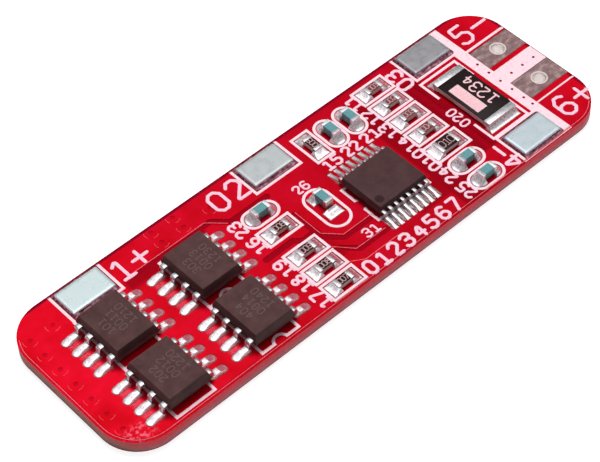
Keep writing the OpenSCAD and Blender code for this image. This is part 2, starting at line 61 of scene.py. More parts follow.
def linear(red, green, blue):
    """Colour given in 0 to 255 display values, as the linear values that shaders take."""
    parts = [c / 255 for c in (red, green, blue)]
    return (*[c / 12.92 if c <= 0.04045 else ((c + 0.055) / 1.055) ** 2.4 for c in parts], 1)


def feed(socket, value):
    """Links a node's input to another node's output, or sets it to a value."""
    if isinstance(value, bpy.types.NodeSocket):
        socket.id_data.links.new(value, socket)
    else:
        socket.default_value = value


def add_node(tree, kind, *values, settings=None, **named):
    """New node with its settings, its first inputs in order and others by their names."""
    made = tree.nodes.new(kind)
    for name, value in (settings or {}).items():
        setattr(made, name, value)
    for socket, value in zip(made.inputs, values):
        feed(socket, value)
    for name, value in named.items():
        feed(made.inputs[name.replace("_", " ")], value)
    return made


def output_of(tree, kind, *values, **named):
    """First output of a new node."""
    return add_node(tree, kind, *values, **named).outputs[0]


def maths(tree, operation, first, second):
    return output_of(tree, "ShaderNodeMath", first, second, settings={"operation": operation})


def colour_ramp(tree, factor, stops):
    """Colours at shares of the factor, each stop as (share, colour)."""
    made = add_node(tree, "ShaderNodeValToRGB", factor)
    elements = made.color_ramp.elements
    while len(elements) < len(stops):
        elements.new(0.5)
    for element, (share, colour) in zip(elements, stops):
        element.position = share
        element.color = colour
    return made.outputs["Color"]


class Finish:
    """A procedural material being put together on a Principled shader."""

    def __init__(self, name, **sockets):
        self.material = bpy.data.materials.new(name)
        self.material.use_nodes = True
        self.tree = self.material.node_tree
        self.shader = self.tree.nodes["Principled BSDF"]
        for socket, value in sockets.items():
            title = socket.replace("_", " ").title().replace("Ior", "IOR")
            self.shader.inputs[title].default_value = value
        self.place = add_node(self.tree, "ShaderNodeTexCoord").outputs["Object"]

    def noise(self, size, detail=3, stretch=(1, 1, 1)):
        """Noise with features of about this size in metres, longer where stretch is more than 1."""
        scaled = output_of(self.tree, "ShaderNodeMapping", Vector=self.place,
                           Scale=[1 / (size * s) for s in stretch])
        return add_node(self.tree, "ShaderNodeTexNoise", Vector=scaled, Scale=1,
                        Detail=detail).outputs["Fac"]

    def ramp(self, factor, *stops):
        """Colours at shares of the factor, each stop as (share, colour)."""
        return colour_ramp(self.tree, factor, stops)

    def spread(self, value, low, high, start=0.3, end=0.7):
        """The value's stretch from start to end, laid over low to high."""
        return output_of(self.tree, "ShaderNodeMapRange", value, start, end, low, high)

    def mix(self, factor, first, second):
        """First colour where the factor is 0, and second where it is 1."""
        made = add_node(self.tree, "ShaderNodeMix", factor, settings={"data_type": "RGBA"})
        first_colour, second_colour = made.inputs[6], made.inputs[7]
        feed(first_colour, first)
        feed(second_colour, second)
        return made.outputs[2]

    def along(self, axis):
        """Place along one axis of the board."""
        return add_node(self.tree, "ShaderNodeSeparateXYZ", self.place).outputs[axis]

    def height(self):
        """Distance above the board's underside."""
        return self.along("Z")

    def maths(self, operation, first, second):
        return maths(self.tree, operation, first, second)

    def vectors(self, operation, first, second=(0, 0, 0), output="Vector"):
        return add_node(self.tree, "ShaderNodeVectorMath", first, second,
                        settings={"operation": operation}).outputs[output]

    def facing(self, direction):
        """How far the surface looks in a direction, 1 where it looks straight that way."""
        normal = add_node(self.tree, "ShaderNodeNewGeometry").outputs["Normal"]
        return self.vectors("DOT_PRODUCT", normal, direction, output="Value")

    def patch(self, low, high, soft, strength=1):
        """The strength on a rectangle of the board, given in millimetres, and 0 off it."""
        for axis, start, end in zip("XY", low, high):
            place = self.along(axis)
            for at, first, last in ((start, 0, 1), (end, 1, 0)):
                side = self.spread(place, first, last, (at - soft) * MM, (at + soft) * MM)
                strength = self.maths("MULTIPLY", strength, side)
        return strength

    def edge_distance(self):
        """Distance from the board's round-cornered edge, inwards."""
        plan = self.vectors("MULTIPLY", self.place, (1, 1, 0))
        past = self.vectors("SUBTRACT", self.vectors("ABSOLUTE", plan),
                            (plate_half.x - corner_radius, plate_half.y - corner_radius, 0))
        corner = self.vectors("LENGTH", self.vectors("MAXIMUM", past), output="Value")
        return self.maths("SUBTRACT", corner_radius, corner)

    def done(self, colour, roughness=None, bumps=()):
        """Links the finished sockets. Bumps are (height socket, depth in metres)."""
        feed(self.shader.inputs["Base Color"], colour)
        if roughness:
            feed(self.shader.inputs["Roughness"], roughness)
        normal = None
        for relief, depth in bumps:
            bump = add_node(self.tree, "ShaderNodeBump", Height=relief, Distance=depth)
            if normal:
                feed(bump.inputs["Normal"], normal)
            normal = bump.outputs[0]
        if normal:
            feed(self.shader.inputs["Normal"], normal)
        return self.material

    def toned(self, pattern, dark, light, rough, depth, stops=(0.3, 0.7)):
        """Finished in two tones, with roughness and bump from the same pattern."""
        colour = self.ramp(pattern, (stops[0], dark), (stops[1], light))
        return self.done(colour, self.spread(pattern, *rough), [(pattern, depth)])


def coat_node(name, material):
    """Gives a CAD node its finish."""
    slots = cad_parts[name].data.materials
    slots.clear()
    slots.append(material)


def glass_epoxy():
    made = Finish("glass_epoxy", specular_ior_level=0.12)
    layers = made.noise(0.05 * MM, stretch=(30, 30, 1))
    fibres = made.noise(0.12 * MM, detail=5)
    # the upper lacquer has run down over the edge, farther on the side that faces -Y, and that
    #     # side is also painted much lighter than the others, which is painted light
    share = made.spread(made.height(), 0, 1, 0, 1.1 * MM)
    other_sides = made.ramp(share, (0.2, linear(156, 116, 110)), (0.5, linear(180, 116, 108)),
                           (0.9, linear(206, 92, 94)))
    lit_front_side = made.ramp(share, (0.2, linear(238, 150, 160)), (0.5, linear(244, 88, 104)),
                          (0.9, linear(254, 52, 76)))
    across = made.facing((0, -1, 0))
    colour = made.mix(made.spread(across, 0, 1, 0.4, 0.95), other_sides, lit_front_side)
    dark = made.mix(made.spread(layers, 0, 0.35, 0.5, 0.3), colour, linear(96, 48, 44))
    dusty = made.mix(made.spread(fibres, 0, 0.25), dark, linear(222, 176, 168))
    return made.done(dusty, made.spread(fibres, 0.55, 0.8),
                     [(layers, 0.02 * MM), (fibres, 0.02 * MM)])


coat_node("substrate", glass_epoxy())

# ---------------------------------------------------------------- solder mask
# Red lacquer printed and cured over the copper on both sides. Over copper it is bright,
# and over the bare plate, where it lies a little lower, it is dark.

plate_top = plate_half.z
mask_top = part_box("mask_top")[1].z
etch_depth = 0.035 * MM

# parts of the board painted darker, partly for little copper under them and partly as painted
# # shade where the light falls off, in millimetres: corners, share of plate
bare_and_shaded_areas = [((-15.5, 3.7), (-7.4, 5.0), 0.7), ((8.6, -8), (11.2, 6), 0.8),
              ((13.3, -5), (15.6, 5.2), 0.85), ((5.5, -6.2), (12, -3.4), 0.75),
              ((-2.6, -5), (-0.9, -1), 0.6)]
# share of bare plate and of painted shade where the light falls off, along the rest, as
# # (place from the left-hand end to the other, share)
bare_and_shade_along = ((0.1, 0), (0.25, 0.22), (0.45, 0.36), (0.6, 0.5), (0.9, 0.48), (1, 0.25))


def middle(node):
    """Middle of a CAD node's box."""
    low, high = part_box(node)
    return (low + high) / 2


controller = middle("controller_body") / MM
# colour of painted shade on the lacquer
shade_lacquer = linear(128, 4, 36)


def marked(made, lacquer):
    """Colour of the lacquer with its scuffs, painted shade along its far rims, and painted
    shade and painted reflections by the leads of the controller and the transistors.
    """
    # one corner is scuffed
    scuffs = made.spread(made.noise(0.3 * MM, detail=5), 0, 0.7, 0.48, 0.62)
    lacquer = made.mix(made.patch((-24.3, -7.2), (-22.2, -5.8), 0.4, scuffs), lacquer,
                       linear(252, 130, 156))
    # painted shade: the lacquer is darker along the far rims
    long_rim = made.spread(made.along("Y"), 0, 1, plate_half.y - 0.35 * MM,
                           plate_half.y - 0.2 * MM)
    short_rim = made.spread(made.along("X"), 0, 1, plate_half.x - 0.4 * MM,
                            plate_half.x - 0.2 * MM)
    far_rim_shade = made.maths("MAXIMUM", long_rim, short_rim)
    lacquer = made.mix(far_rim_shade, lacquer, shade_lacquer)
    # grey between the controller's near leads: painted shade under them, with painted
    #     # reflections of their metal
    lead_shade = made.patch((controller.x - 2.6, controller.y - 3.74),
                      (controller.x + 2.6, controller.y - 2.34), 0.06)
    lead_reflection = made.ramp(made.noise(0.06 * MM, stretch=(1, 6, 1)),
                        (0.4, linear(70, 62, 62)), (0.6, linear(186, 192, 188)))
    lacquer = made.mix(lead_shade, lacquer, lead_reflection)
    # between a transistor's near leads there is painted shade by their shoulders and a painted
    #     # reflection of the solder beside their feet
    reflection_spots = made.spread(made.noise(0.1 * MM, detail=5), 0, 0.8, 0.42, 0.6)
    for k in (1, 2, 3, 4):
        centre = middle(f"transistor_{k}_body") / MM
        near, row = centre.x - 2.1, 1.9
        for start, end, soft, strength, stain in (
                (near - 0.4, near, 0.08, 0.6, linear(84, 0, 22)),
                (near - 1.4, near - 0.6, 0.12, reflection_spots, linear(222, 100, 122))):
            share = made.patch((start, centre.y - row), (end, centre.y + row), soft, strength)
            lacquer = made.mix(share, lacquer, stain)
    return lacquer


def red_mask():
    made = Finish("red_mask", specular_ior_level=0.03)
    flow = made.noise(2.2 * MM)
    grain = made.noise(0.08 * MM, detail=5)
    over_copper = made.ramp(flow, (0.3, linear(216, 6, 26)), (0.5, linear(230, 10, 36)),
                            (0.7, linear(240, 14, 46)))
    # whole copper lies under the left-hand end, narrow traces and much bare plate elsewhere;
    #     # the darkening along the board is also painted shade, where the light falls off
    length = made.spread(made.along("X"), 0, 1, -plate_half.x, plate_half.x)
    bare_and_shade = made.ramp(length, *[(at, (share, share, share, 1)) for at, share in bare_and_shade_along])
    for low_corner, high_corner, share in bare_and_shaded_areas:
        bare_and_shade = made.maths("MAXIMUM", bare_and_shade, made.patch(low_corner, high_corner, 0.35, share))
    over_copper = marked(made, made.mix(bare_and_shade, over_copper, linear(122, 0, 14)))
    over_plate = made.ramp(grain, (0.3, linear(140, 0, 14)), (0.7, linear(170, 4, 30)))
    edge_highlight = made.ramp(grain, (0.3, linear(236, 24, 50)), (0.7, linear(255, 150, 164)))
    # the low parts of the mask have no copper under them, and the raised lines over the
    #     # copper's edges and the vias are painted light pink, a painted highlight
    low = made.spread(made.height(), 1, 0, mask_top - etch_depth * 0.6,
                      mask_top - etch_depth * 0.3)
    inland = made.spread(made.edge_distance(), 0.25, 1, 0.3 * MM, 0.36 * MM)
    low = made.maths("MULTIPLY", low, inland)
    # over the covered vias it is hardly darker
    lanes = made.maths("MULTIPLY", made.spread(made.along("X"), 0.4, 1, -20 * MM, -19 * MM),
                       made.spread(made.along("Y"), 1, 0.4, 5.45 * MM, 5.6 * MM))
    low = made.maths("MULTIPLY", low, lanes)
    edge = made.spread(made.height(), 0, 1, mask_top + 0.004 * MM, mask_top + 0.01 * MM)
    colour = made.mix(edge, made.mix(low, over_copper, over_plate), edge_highlight)
    return made.done(colour, made.spread(grain, 0.18, 0.28),
                     [(flow, 0.02 * MM), (grain, 0.003 * MM)])


def new_piece(name, mesh, material, slot, *replaced):
    """Object on the board from a finished mesh, standing for the CAD nodes named last."""
    piece = bpy.data.objects.new(name, mesh)
    bpy.context.scene.collection.objects.link(piece)
    mesh.materials.clear()
    mesh.materials.append(material)
    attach(piece, "root")
    if replaced:
        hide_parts(*replaced)


def smooth(mesh, angle=35):
    """Smooth shading with edges kept sharp past an angle."""
    mesh.shade_smooth()
    mesh.set_sharp_from_angle(angle=math.radians(angle))


def path_object(*lines):
    """Curve object with one straight-sided line for each list of points, closed where the
    last point is the first again."""
    curve = bpy.data.curves.new("path", "CURVE")
    curve.dimensions = "3D"
    for points in lines:
        closed = len(points) > 2 and points[0] == points[-1]
        spline = curve.splines.new("POLY")
        spline.points.add(len(points) - 1 - closed)
        spline.use_cyclic_u = closed
        for target, point in zip(spline.points, points):
            target.co = (*point, 1)
    made = bpy.data.objects.new("path", curve)
    bpy.context.scene.collection.objects.link(made)
    return made


def new_tree(name, **inputs):
    """Geometry Nodes tree with named inputs of these kinds, and what they are given."""
    tree = bpy.data.node_groups.new(name, "GeometryNodeTree")
    for socket, kind in inputs.items():
        tree.interface.new_socket(socket.replace("_", " "), in_out="INPUT",
                                  socket_type=f"NodeSocket{kind}")
    tree.interface.new_socket("Piece", in_out="OUTPUT", socket_type="NodeSocketGeometry")
    return tree, add_node(tree, "NodeGroupInput").outputs


def end_tree(tree, parts, finish):
    """Joins the parts, makes their copies real, gives them the finish and ends the tree."""
    joined = add_node(tree, "GeometryNodeJoinGeometry")
    for part in parts:
        feed(joined.inputs[0], part)
    real = output_of(tree, "GeometryNodeRealizeInstances", joined.outputs[0])
    finished = output_of(tree, "GeometryNodeSetMaterial", Geometry=real, Material=finish)
    add_node(tree, "NodeGroupOutput", finished)
    return tree


def grown(source, tree, **values):
    """Mesh that a Geometry Nodes tree makes from an object, which is removed afterwards."""
    modifier = source.modifiers.new("nodes", "NODES")
    modifier.node_group = tree
    for item in tree.interface.items_tree:
        key = item.name.replace(" ", "_").lower()
        if item.in_out == "INPUT" and key in values:
            modifier[item.identifier] = values[key]
    bpy.context.view_layer.update()
    seen = source.evaluated_get(bpy.context.evaluated_depsgraph_get())
    mesh = bpy.data.meshes.new_from_object(seen)
    source.modifiers.remove(modifier)
    bpy.data.objects.remove(source)
    return mesh


def bead_tree():
    """Geometry Nodes that lay a flat bead with round ends along lines drawn at height 0."""
    tree, given = new_tree("flat_bead", Path="Geometry", Width="Float", Thickness="Float",
                           Bend_Radius="Float", Level="Float", Finish="Material")
    new = partial(output_of, tree)
    half = maths(tree, "MULTIPLY", given["Width"], 0.5)
    bent = new("GeometryNodeFilletCurve", Curve=given["Path"], Radius=given["Bend Radius"],
               Count=3, Limit_Radius=True, settings={"mode": "POLY"})
    section = new("GeometryNodeCurvePrimitiveCircle", Resolution=8, Radius=half)
    tube = new("GeometryNodeCurveToMesh", Curve=bent, Profile_Curve=section, Fill_Caps=True)

    # a round knob goes on both ends of each line that doesn't close on itself
    line_end = new("FunctionNodeBooleanMath", new("GeometryNodeCurveEndpointSelection"),
                   new("GeometryNodeInputSplineCyclic"), settings={"operation": "NIMPLY"})
    tagged = new("GeometryNodeStoreNamedAttribute", Geometry=bent, Name="line_end",
                 Value=line_end, settings={"data_type": "BOOLEAN", "domain": "POINT"})
    points = new("GeometryNodeCurveToPoints", Curve=tagged, settings={"mode": "EVALUATED"})
    chosen = new("GeometryNodeInputNamedAttribute", Name="line_end",
                 settings={"data_type": "BOOLEAN"})
    knob = new("GeometryNodeMeshUVSphere", Segments=8, Rings=4, Radius=half)
    knobs = new("GeometryNodeInstanceOnPoints", Points=points, Selection=chosen, Instance=knob)

    # all of it is pressed flat and lifted to its level
    scale = new("ShaderNodeCombineXYZ", X=1, Y=1,
                Z=maths(tree, "DIVIDE", given["Thickness"], given["Width"]))
    lift = new("ShaderNodeCombineXYZ", Z=given["Level"])
    flat = [new("GeometryNodeTransform", Geometry=part, Scale=scale, Translation=lift)
            for part in (tube, knobs)]
    return end_tree(tree, flat, given["Finish"])


bead = bead_tree()


def beads(name, lines, width, top, material, slot, thickness=0.06 * MM, bend=0.1 * MM):
    """Piece of flat beads along lines given in millimetres, up to this height."""
    paths = [[(x * MM, y * MM, 0) for x, y in line] for line in lines]
    mesh = grown(path_object(*paths), bead, width=width, thickness=thickness,
                 bend_radius=bend, level=top - thickness / 2, finish=material)
    smooth(mesh, 60)
    new_piece(name, mesh, material, slot)


def ring(x, y, radius, start=0, end=360, count=16):
    """Points of a circle or of a part of one, in millimetres."""
    turns = [math.radians(start + (end - start) * k / count) for k in range(count + 1)]
    points = [(x + radius * math.cos(t), y + radius * math.sin(t)) for t in turns]
    return points[:-1] + points[:1] if end - start == 360 else points


mask_finish = red_mask()
coat_node("mask_top", mask_finish)
coat_node("mask_bottom", mask_finish)

# the lacquer stands up a little along the edges of the copper and round the covered vias; the
# # rim line runs only along the near edges and the via arcs only on each via's near side, where
# # they carry a painted highlight
rim_inset = 0.2
corner = corner_radius / MM
copper_rim = []
for x, y, start, end in ((-1, 1, 150, 180), (-1, -1, 180, 270), (1, -1, 270, 340)):
    copper_rim += ring(x * (plate_half.x / MM - corner), y * (plate_half.y / MM - corner),
                       corner - rim_inset, start, end, (end - start) // 10)
trace_edges = [
    [(-1.35, 1.0), (-1.35, -1.9), (-0.15, -3.2), (2.6, -3.2)],
    [(-1.6, -3.5), (-0.4, -4.9), (2.6, -4.95)],
    [(-1.6, -5.5), (-0.6, -6.15), (2.8, -6.15)],
    [(-14.2, 5.1), (-7.1, 5.1), (-5.8, 3.8)],
]
beads("copper_edges", [copper_rim, *trace_edges], 0.1 * MM, mask_top + 0.012 * MM,
      mask_finish, "solder_mask", thickness=0.04 * MM)
via_places = [(-23.8, 1.8 * k) for k in range(-3, 4)] + [
    (-21.7, 5.4), (-10.7, 7.2), (-8.5, 7.2), (-10.7, 5.9), (-8.5, 5.9), (-5.8, 5.9)]
via_arcs = [ring(x, y, 0.58, start, start + 55, 6) for x, y in via_places
            for start in (150, 255)]
beads("via_rims", via_arcs, 0.1 * MM, mask_top + 0.008 * MM, mask_finish, "solder_mask",
      thickness=0.03 * MM)

# ---------------------------------------------------------------- printed legend
# White epoxy ink screened on the mask and baked, thin enough for the red to shine through
# a little. It frames the parts and numbers them.

ink_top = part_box("legend")[1].z


def legend_ink(name, thin, thick):
    made = Finish(name)
    cover = made.noise(0.22 * MM, detail=5)
    colour = made.ramp(cover, (0.28, thin), (0.45, thick))
    # painted shade: the ink takes the shaded lacquer's colour along the far rim, and beside the
    #     # controller, where its body shades it
    far_rim_shade = made.spread(made.along("Y"), 0, 1, plate_half.y - 0.3 * MM, plate_half.y - 0.17 * MM)
    controller_shade = made.patch((controller.x - 2.59, controller.y - 0.94),
                      (controller.x - 1.95, controller.y + 0.56), 0.04)
    colour = made.mix(made.maths("MAXIMUM", far_rim_shade, controller_shade), colour, shade_lacquer)
    return made.done(colour, made.spread(cover, 0.75, 0.55), [(cover, 0.004 * MM)])


coat_node("legend", legend_ink("legend_ink", linear(250, 196, 208), linear(252, 222, 231)))
ink = legend_ink("figure_ink", linear(246, 186, 206), linear(248, 208, 225))

# figures drawn with a round pen in a box 0.6 wide and 1 high
FIGURES = {
    "0": [[(0, .2), (0, .8), (.18, 1), (.42, 1), (.6, .8), (.6, .2), (.42, 0), (.18, 0), (0, .2)]],
    "1": [[(.1, .8), (.35, 1), (.35, 0)], [(.1, 0), (.6, 0)]],
    "2": [[(0, .8), (.16, 1), (.44, 1), (.6, .82), (.6, .62), (0, 0), (.6, 0)]],
    "3": [[(0, .85), (.16, 1), (.44, 1), (.6, .84), (.6, .66), (.44, .53), (.2, .53)],
          [(.44, .53), (.6, .38), (.6, .17), (.44, 0), (.16, 0), (0, .15)]],
    "4": [[(.45, 0), (.45, 1), (0, .3), (.6, .3)]],
    "5": [[(.57, 1), (.06, 1), (0, .56), (.4, .6), (.6, .44), (.6, .18), (.42, 0), (.16, 0),
           (0, .12)]],
    "6": [[(.55, .9), (.4, 1), (.2, 1), (0, .75), (0, .2), (.18, 0), (.42, 0), (.6, .18),
           (.6, .38), (.42, .55), (.16, .55), (0, .4)]],
    "7": [[(0, 1), (.6, 1), (.2, 0)]],
    "8": [[(.3, .53), (.06, .7), (.06, .86), (.2, 1), (.4, 1), (.54, .86), (.54, .7), (.3, .53),
           (0, .36), (0, .16), (.18, 0), (.42, 0), (.6, .16), (.6, .36), (.3, .53)]],
    "9": [[(.05, .1), (.2, 0), (.4, 0), (.6, .25), (.6, .8), (.42, 1), (.18, 1), (0, .82),
           (0, .62), (.18, .45), (.44, .45), (.6, .6)]],
    "+": [[(.3, .15), (.3, .85)], [(-.05, .5), (.65, .5)]],
    "-": [[(-.05, .5), (.65, .5)]],
}


def figures(text, x, y, high, turn=0, step=0.92):
    """Lines of a row of figures round (x, y), this high and turned by degrees."""
    c, s = math.cos(math.radians(turn)), math.sin(math.radians(turn))
    start = -((len(text) - 1) * step + 0.6) / 2
    lines = []
    for k, letter in enumerate(text):
        for line in FIGURES[letter]:
            points = [((start + k * step + u) * high, (v - 0.5) * high) for u, v in line]
            lines.append([(x + u * c - v * s, y + u * s + v * c) for u, v in points])
    return lines


def printed_numbers(name, numbers, pen, high=1):
    """Piece of numbers as (text, x, y, turn), with their own height last where it differs."""
    lines = []
    for text, x, y, turn, *own in numbers:
        lines += figures(text, x, y, own[0] if own else high, turn)
    beads(name, lines, pen * MM, ink_top, ink, "legend_ink")


# the cell taps and the output are numbered, and so are the parts, beside their outlines
tap_numbers = [("1+", -13.75, 5.97, 0, 2), ("02", -3.95, 5.97, 0, 2),
               ("03", 14.4, 5.5, 90, 1.4), ("4-", 14.6, -6.3, 90, 1.65),
               ("5-", 22.75, 5.65, 0, 2.1), ("6+", 22.94, -5.75, 0, 2.1)]
left_column = (("23", 2.69), ("16", 0.54), ("19", -2.51), ("18", -4.56), ("17", -6.61))
right_column = (("11", 6.19), ("12", 4.14), ("13", 2.09), ("14", 0.04), ("010", -2.21),
                ("24", -4.5), ("25", -6.61))
part_numbers = [(text, x, y, 90) for x, column in ((-5.7, left_column), (9.85, right_column))
                for text, y in column]
part_numbers += [(text, x, 2.8, 0) for text, x in (("15", 4.3), ("22", 6.35), ("21", 8.4))]
small_numbers = [("26", 0.7, 2.55, 0), ("31", 1.65, -4.35, 0), ("020", 14.85, -0.75, 90)]
# plain row of numbers along the lower edge
row_start, row_step, row_y = -0.9, 1.29, -6.95
number_row = [(str(k), row_start + row_step * k, row_y, 0) for k in range(8)]
printed_numbers("tap_numbers", tap_numbers, pen=0.33)
printed_numbers("part_numbers", part_numbers, pen=0.27)
printed_numbers("small_numbers", small_numbers, pen=0.2, high=0.84)
printed_numbers("number_row", number_row, pen=0.31, high=1.25)

# ---------------------------------------------------------------- output pads
# Copper lands dipped in solder, dull and a little brown, each with a plated hole. The
# solder stands in a low collar round the hole.


def dipped_copper():
    made = Finish("dipped_copper", metallic=0.35)
    streaks = made.noise(0.35 * MM, stretch=(1.6, 1, 1), detail=5)
    grain = made.noise(0.06 * MM)
    dull = made.ramp(streaks, (0.3, linear(122, 94, 94)), (0.5, linear(146, 116, 116)),
                     (0.75, linear(190, 164, 160)))
    # the hole's wall, where the solder ran through, is painted brighter, as painted light against
    #     # the shade in the hole
    inside = made.spread(made.height(), 1, 0, mask_top - 0.06 * MM, mask_top - 0.02 * MM)
    collar = made.spread(made.height(), 0, 1, mask_top + 0.004 * MM, mask_top + 0.01 * MM)
    colour = made.mix(inside, made.mix(collar, dull, linear(226, 208, 206)),
                      linear(255, 248, 246))
    return made.done(colour, made.spread(streaks, 0.32, 0.5),
                     [(streaks, 0.015 * MM), (grain, 0.003 * MM)])


pad_finish = dipped_copper()
collars = []
for sign in ("plus", "minus"):
    coat_node(f"output_pad_{sign}", pad_finish)
    pad = middle(f"output_pad_{sign}") / MM
    collars.append(ring(pad.x, pad.y, 0.64, count=32))
beads("output_hole_rims", collars, 0.2 * MM, mask_top + 0.02 * MM, pad_finish, "tinned_pad")

# ---------------------------------------------------------------- solder
# Tin alloy paste, melted in the oven. It stays on the land, stands up round the metal of
# the part and draws up into a hollow curve against it.

Leads = namedtuple("Leads", "count pitch span foot width thickness")
# the transistors have four leads a side, and the controller eight finer ones
fet_leads = Leads(4, 1.27 * MM, 6 * MM, 0.5 * MM, 0.42 * MM, 0.2 * MM)
ctl_leads = Leads(8, 0.65 * MM, 6.4 * MM, 0.5 * MM, 0.24 * MM, 0.13 * MM)
fet_places = [(*middle(f"transistor_{k}_body").xy, 180 * (k > 2)) for k in (1, 2, 3, 4)]
ctl_place = (*middle("controller_body").xy, 90)
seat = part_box("cell_tab_1")[0].z        # underside of every soldered part
square = 0.05 * MM                      # corner radius of a land with square corners


def bright_solder():
    made = Finish("bright_solder", metallic=0.6)
    skin = made.noise(0.22 * MM, detail=5)
    grain = made.noise(0.05 * MM)
    bright = made.ramp(skin, (0.3, linear(220, 212, 216)), (0.7, linear(252, 246, 248)))
    # slopes that look along the board away from the view are painted pink, a painted reflection
    #     # of the red lacquer
    red_reflection = made.spread(made.facing((1, 0.25, 0)), 0, 0.9, 0.02, 0.28)
    colour = made.mix(red_reflection, bright, linear(224, 104, 120))
    return made.done(colour, made.spread(skin, 0.2, 0.38),
                     [(skin, 0.02 * MM), (grain, 0.003 * MM)])


def land_outline(start, end, width, start_radius, end_radius, steps=5):
    """Closed outline of a land along +X with its own corner radius at each end, with
    points along its sides."""
    corners = []
    for quarter, (x, y, radius) in enumerate(((end, 1, end_radius), (start, 1, start_radius),
                                              (start, -1, start_radius), (end, -1, end_radius))):
        inward = radius if x == start else -radius
        centre = Vector((x + inward, y * (width / 2 - radius)))
        for k in range(steps + 1):
            angle = math.radians(90 * (quarter + k / steps))
            corners.append(centre + radius * Vector((math.cos(angle), math.sin(angle))))
    points = []
    for here, there in zip(corners, corners[1:] + corners[:1]):
        pieces = max(1, round((there - here).length / (0.12 * MM)))
        points += [here.lerp(there, k / pieces) for k in range(pieces)]
    return points


def outside(point, low, high):
    """Distance from a point to a rectangle, 0 inside it."""
    gaps = [max(low[i] - point[i], 0, point[i] - high[i]) for i in (0, 1)]
    return math.hypot(*gaps)


def from_edge(point, outline):
    """Distance from a point to the nearest side of a closed outline."""
    nearest = 1
    for here, there in zip(outline, outline[1:] + outline[:1]):
        side = there - here
        share = max(0, min(1, (point - here).dot(side) / side.length_squared))
        nearest = min(nearest, (here + side * share - point).length)
    return nearest


def stacked(rings):
    """Closed bmesh through rings of points, from the lowest to the highest."""
    made = bmesh.new()
    rings = [[made.verts.new(point) for point in ring] for ring in rings]
    count = len(rings[0])
    for lower, upper in zip(rings, rings[1:]):
        for k in range(count):
            n = (k + 1) % count
            made.faces.new((lower[k], lower[n], upper[n], upper[k]))
    made.faces.new(rings[-1])
    made.faces.new(list(reversed(rings[0])))
    return made


def solder_pool(outline, pole, metal, climb, reach, crown):
    """Bmesh of a land with solder on it that climbs round the metal of a part.

    The metal is a rectangle as its (low, high) corners, and the pole a point in it or near
    it, round which the pool is drawn.
    """
    pole = Vector(pole)
    rings = [[(*p, plate_top) for p in outline]]
    for share in (1, 0.97, 0.93, 0.88, 0.82, 0.75, 0.67, 0.58, 0.49, 0.4, 0.3, 0.2, 0.1):
        level = []
        for p in outline:
            spot = pole + (p - pole) * share
            inside = from_edge(spot, outline) if share < 1 else 0
            swell = math.sqrt(1 - (1 - min(1, inside / (0.3 * MM))) ** 2)
            near = max(0, 1 - outside(spot, *metal) / reach)
            rise = crown * swell + climb * near ** 1.4 * min(1, inside / (0.08 * MM))
            level.append((*spot, mask_top + 0.004 * MM + rise))
        rings.append(level)
    return stacked(rings)


def put(x, y, turn):
    """Matrix that puts what was made round the origin at a place of the board."""
    return Matrix.Translation((x, y, 0)) @ Matrix.Rotation(math.radians(turn), 4, "Z")


def set_out(name, *sets):
    """One mesh from bmeshes, each given with the (x, y, degrees) places of its copies."""
    joined = bmesh.new()
    for source, places in sets:
        for place in places:
            copy = bpy.data.meshes.new("copy")
            source.to_mesh(copy)
            copy.transform(put(*place))
            joined.from_mesh(copy)
            bpy.data.meshes.remove(copy)
    mesh = bpy.data.meshes.new(name)
    joined.to_mesh(mesh)
    joined.free()
    smooth(mesh)
    return mesh


def lead_pool(leads, inner, outer, width, radius, crown):
    """Solder on the land of one lead, which runs along +X from inner to outer."""
    toe = leads.span / 2
    metal = ((toe - leads.foot * 1.15, -leads.width / 2), (toe, leads.width / 2))
    return solder_pool(land_outline(inner, outer, width, radius, radius), (toe, 0), metal,
                       climb=1.02 * leads.thickness, reach=0.6 * MM, crown=crown)


def lead_places(leads, packages):
    """Places of the leads of packages that stand at the given places."""
    found = []
    for x, y, turn in packages:
        for side in (0, 180):
            angle = math.radians(turn + side)
            for k in range(leads.count):
                across = (k - (leads.count - 1) / 2) * leads.pitch
                found.append((x - across * math.sin(angle), y + across * math.cos(angle),
                              turn + side))
    return found


solder = bright_solder()
# the transistors' lands have round ends
fet_pool = lead_pool(fet_leads, inner=2.05 * MM, outer=3.75 * MM, width=0.76 * MM,
                     radius=0.379 * MM, crown=0.08 * MM)
ctl_pool = lead_pool(ctl_leads, inner=2.5 * MM, outer=3.85 * MM, width=0.38 * MM,
                     radius=square, crown=0.04 * MM)
mesh = set_out("lead_solder", (fet_pool, lead_places(fet_leads, fet_places)),
               (ctl_pool, lead_places(ctl_leads, [ctl_place])))
new_piece("lead_solder", mesh, solder, "solder", "lead_lands")

# ---------------------------------------------------------------- formed leads
# Strip stamped from copper sheet, plated with tin and bent twice, out of the body's side
# and down to a flat foot that stands in the solder.

leg_lean, foot_slope = 4, 7     # degrees: the leg off upright, the foot down to its toe
embedded = 0.15 * MM            # the strip goes on inside the body


def tin_plate():
    made = Finish("tin_plate", metallic=1)
    drawn = made.noise(0.1 * MM, stretch=(3, 3, 3), detail=5)
    return made.toned(drawn, linear(196, 196, 200), linear(230, 230, 232), (0.22, 0.36),
                      0.004 * MM)


